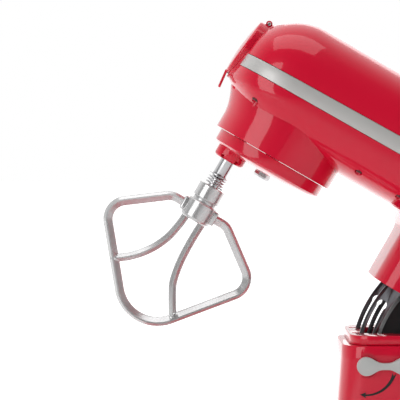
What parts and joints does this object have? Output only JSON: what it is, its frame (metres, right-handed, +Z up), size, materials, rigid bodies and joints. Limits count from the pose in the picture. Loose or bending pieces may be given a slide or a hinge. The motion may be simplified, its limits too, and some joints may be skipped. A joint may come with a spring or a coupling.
{
  "type": "stand mixer",
  "caption": "Tilt-head planetary stand mixer with a flat beater, accessory hub, tilt lock lever and bowl seat, head raised.",
  "frame": {"origin": "on the floor under the middle rubber foot, on the beater drum's axis when the head is down", "axes": "+Z up, -X towards the beater end of the foot, +Y to the mixer's right side; the head is shown raised"},
  "size_m": [0.4701, 0.2152, 0.4615],
  "materials": {
    "red_enamel": "gloss enamel",
    "silver_trim": "satin silver",
    "steel": "ground steel",
    "dark_steel": "blackened steel",
    "aluminium": "burnished aluminium",
    "black_plastic": "moulded black plastic",
    "rubber": "soft rubber",
    "brass": "sintered bronze",
    "copper": "wound copper",
    "circuit_board": "coated board"
  },
  "bodies": {
    "base": {"base_housing": "red_enamel", "base_plate": "black_plastic", "rubber_foot_1": "rubber", "rubber_foot_2": "rubber", "rubber_foot_3": "rubber", "rubber_foot_4": "rubber", "rubber_foot_5": "rubber", "bowl_seat": "steel", "column_collar": "red_enamel", "pivot_pin": "steel", "pivot_block_left": "dark_steel", "pivot_block_right": "dark_steel", "cable_gland": "rubber"},
    "lock": {"lock_shaft": "steel", "lock_lever": "silver_trim"},
    "head": {"head_upper_shell": "red_enamel", "head_lower_housing": "red_enamel", "trim_band": "silver_trim", "hub_ring": "red_enamel", "hub_socket": "steel", "tilt_arm_left": "dark_steel", "tilt_arm_right": "dark_steel", "hinge_shroud": "black_plastic", "neck_insert": "black_plastic", "ring_gear": "steel", "gearbox_plate": "aluminium", "carrier_bearing": "steel", "layshaft_bearing": "steel", "gear_bridge": "aluminium", "drive_belt": "rubber", "motor_stator": "dark_steel", "motor_mount": "aluminium", "motor_bush": "brass", "speed_board": "circuit_board", "speed_switch": "black_plastic"},
    "hub_cover": {"hub_cover": "red_enamel", "hub_cover_pin": "steel"},
    "carrier": {"planetary_disc": "red_enamel", "carrier_shaft": "steel", "drive_gear": "steel", "carrier_bolt": "steel"},
    "spindle": {"beater_spindle": "steel", "cross_pin": "steel", "planet_pinion": "steel", "spring_washer": "steel", "beater_spring": "steel"},
    "beater": {"flat_beater": "aluminium"},
    "layshaft": {"layshaft": "steel", "layshaft_pinion": "brass", "layshaft_pulley": "black_plastic"},
    "motor": {"motor_shaft": "steel", "motor_pulley": "black_plastic", "motor_rotor": "copper", "cooling_fan": "black_plastic"},
    "speed_knob": {"speed_knob": "black_plastic"}
  },
  "joints": [
    {"name": "head_tilt", "type": "hinge", "parent": "base", "child": "head", "pos_m": [0.2528, 0, 0.1501], "axis": [0, 1, 0], "range_deg": [-30, 0]},
    {"name": "lock_turn", "type": "hinge", "parent": "base", "child": "lock", "pos_m": [0.14944, 0, 0.15552], "axis": [0, 1, 0], "range_deg": [0, 90]},
    {"name": "hub_cover_flip", "type": "hinge", "parent": "head", "child": "hub_cover", "pos_m": [0.06594, 0, 0.45705], "axis": [0, 1, 0], "range_deg": [0, 100]},
    {"name": "carrier_spin", "type": "hinge", "parent": "head", "child": "carrier", "pos_m": [0.06077, 0, 0.32309], "axis": [0.5, 0, 0.866], "continuous": true},
    {"name": "spindle_spin", "type": "hinge", "parent": "carrier", "child": "spindle", "pos_m": [0.01169, 0, 0.30408], "axis": [0.5, 0, 0.866], "continuous": true},
    {"name": "beater_push", "type": "slide", "parent": "spindle", "child": "beater", "axis": [0.5, 0, 0.866], "range_m": [0, 0.004], "stiffness_N_per_m": 900, "deforming": ["beater_spring"]},
    {"name": "layshaft_spin", "type": "hinge", "parent": "head", "child": "layshaft", "pos_m": [0.12896, 0, 0.3612], "axis": [0.5, 0, 0.866], "continuous": true},
    {"name": "motor_spin", "type": "hinge", "parent": "head", "child": "motor", "pos_m": [0.27185, 0, 0.2787], "axis": [0.5, 0, 0.866], "continuous": true},
    {"name": "speed_turn", "type": "hinge", "parent": "head", "child": "speed_knob", "pos_m": [0.27477, -0.066, 0.29376], "axis": [0, -1, 0], "range_deg": [0, 150]}
  ],
  "couplings": [
    {"joint": "spindle_spin", "follows": "carrier_spin", "ratio": -3.75},
    {"joint": "layshaft_spin", "follows": "carrier_spin", "ratio": -3},
    {"joint": "motor_spin", "follows": "carrier_spin", "ratio": -10.5}
  ]
}
